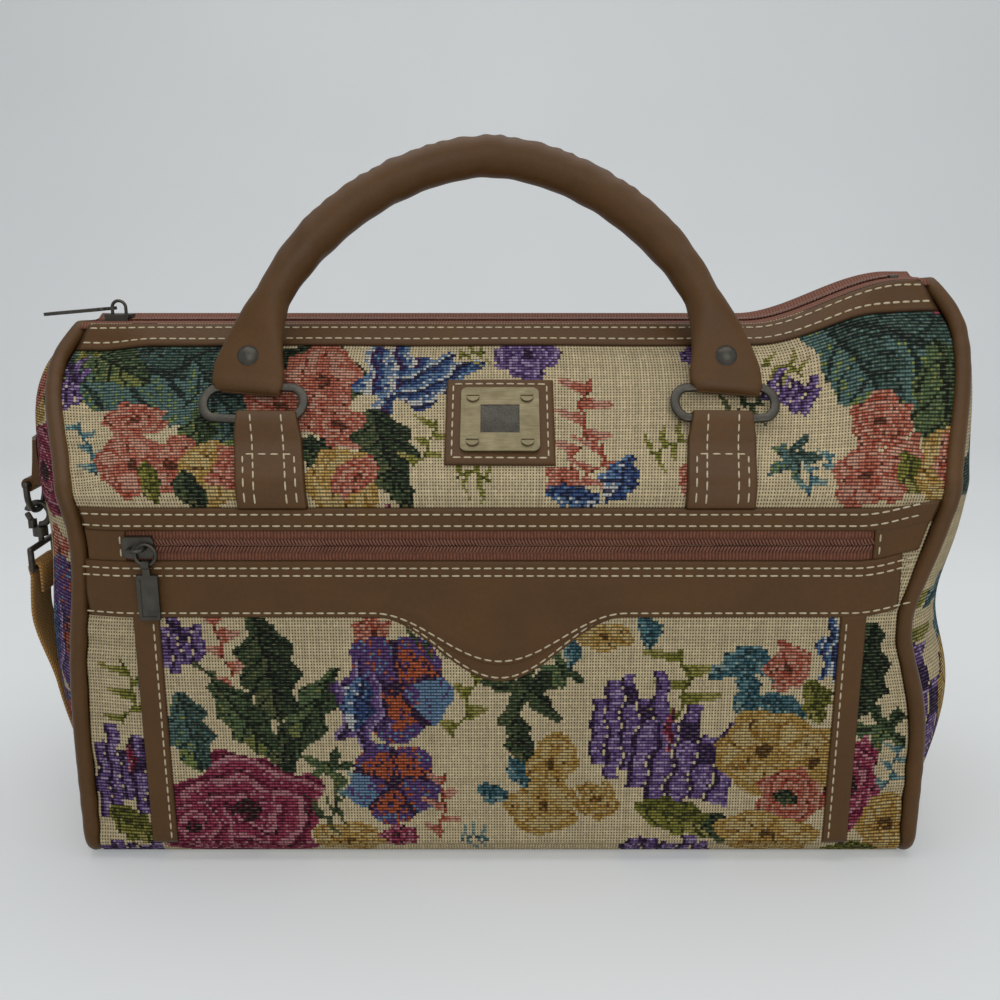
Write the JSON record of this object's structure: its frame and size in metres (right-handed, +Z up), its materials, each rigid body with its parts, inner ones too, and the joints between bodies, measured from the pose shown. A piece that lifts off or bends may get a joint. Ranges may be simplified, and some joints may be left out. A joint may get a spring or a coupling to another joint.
{
  "type": "carpet bag",
  "caption": "Soft tapestry travel bag with leather trim, rolled handles on rings, a zip along the top, a zipped front pocket and a hook with webbing at one end.",
  "frame": {"origin": "middle of the base, on the surface the bag rests on", "axes": "+X along the bag to the right seen from the front, +Y from the front to the back, +Z up"},
  "size_m": [0.4661, 0.2558, 0.3405],
  "materials": {
    "tapestry": "woven, matte",
    "brown_leather": "smooth, satin",
    "zip_brown": "woven tape and nylon coil",
    "dark_metal": "dark plated, satin",
    "antique_brass": "antique, brushed",
    "webbing": "herringbone weave",
    "board": "matte"
  },
  "bodies": {
    "bag": {"front_panel": "tapestry", "back_panel": "tapestry", "base_panel": "brown_leather", "base_board": "board", "left_end_panel": "tapestry", "right_end_panel": "tapestry", "left_piping": "brown_leather", "right_piping": "brown_leather", "top_binding_front": "brown_leather", "top_binding_back": "brown_leather", "top_zip_tape": "zip_brown", "top_zip_coil": "zip_brown", "top_zip_stops": "dark_metal", "pocket_panel": "tapestry", "pocket_strip_left": "brown_leather", "pocket_strip_right": "brown_leather", "pocket_yoke": "brown_leather", "pocket_yoke_facing": "brown_leather", "pocket_top_band": "brown_leather", "pocket_zip_tape": "zip_brown", "pocket_zip_coil": "zip_brown", "pocket_zip_end_left": "brown_leather", "pocket_zip_end_right": "brown_leather", "badge_patch": "brown_leather", "badge_plate": "antique_brass", "front_chape_left": "brown_leather", "front_chape_right": "brown_leather", "back_chape_left": "brown_leather", "back_chape_right": "brown_leather", "strap_tab": "brown_leather", "strap_ring": "dark_metal", "strap_hook": "dark_metal", "strap_hook_eye": "dark_metal", "end_strap": "webbing"},
    "top_slider": {"top_slider": "dark_metal"},
    "top_pull": {"top_pull": "dark_metal"},
    "pocket_slider": {"pocket_slider": "dark_metal"},
    "pocket_link": {"pocket_link": "dark_metal"},
    "pocket_pull": {"pocket_pull": "antique_brass"},
    "front_rings": {"front_ring_left": "dark_metal", "front_ring_right": "dark_metal"},
    "front_handle": {"front_handle": "brown_leather", "front_handle_rivets": "antique_brass"},
    "back_rings": {"back_ring_left": "dark_metal", "back_ring_right": "dark_metal"},
    "back_handle": {"back_handle": "brown_leather", "back_handle_rivets": "antique_brass"},
    "strap_hook_gate": {"strap_hook_gate": "dark_metal"}
  },
  "joints": [
    {"name": "top_zip_slide", "type": "slide", "parent": "bag", "child": "top_slider", "axis": [1, 0, 0], "range_m": [0, 0.3]},
    {"name": "top_pull_swing", "type": "hinge", "parent": "top_slider", "child": "top_pull", "pos_m": [-0.1914, 0, 0.2577], "axis": [0, 1, 0], "range_deg": [0, 170]},
    {"name": "pocket_zip_slide", "type": "slide", "parent": "bag", "child": "pocket_slider", "axis": [1, 0, 0], "range_m": [0, 0.31]},
    {"name": "pocket_link_swing", "type": "hinge", "parent": "pocket_slider", "child": "pocket_link", "pos_m": [-0.1566, -0.0908, 0.15862], "axis": [0, 1, 0], "range_deg": [-85, 18]},
    {"name": "pocket_pull_lift", "type": "hinge", "parent": "pocket_link", "child": "pocket_pull", "pos_m": [-0.1566, -0.0908, 0.15112], "axis": [-1, 0, 0], "range_deg": [0, 100]},
    {"name": "front_ring_swing", "type": "hinge", "parent": "bag", "child": "front_rings", "pos_m": [0, -0.0611, 0.21129], "axis": [1, 0, 0], "range_deg": [0, 146]},
    {"name": "front_handle_swing", "type": "hinge", "parent": "front_rings", "child": "front_handle", "pos_m": [0, -0.04905, 0.22467], "axis": [1, 0, 0], "range_deg": [0, 26]},
    {"name": "back_ring_swing", "type": "hinge", "parent": "bag", "child": "back_rings", "pos_m": [0, 0.0611, 0.21129], "axis": [1, 0, 0], "range_deg": [0, 146]},
    {"name": "back_handle_swing", "type": "hinge", "parent": "back_rings", "child": "back_handle", "pos_m": [0, 0.07856, 0.20694], "axis": [1, 0, 0], "range_deg": [0, 26]},
    {"name": "strap_gate_swing", "type": "hinge", "parent": "bag", "child": "strap_hook_gate", "pos_m": [-0.23103, -0.034, 0.1553], "axis": [0, 1, 0], "range_deg": [0, 25], "stiffness_Nm_per_rad": 0.004, "springref_deg": -22.92}
  ]
}
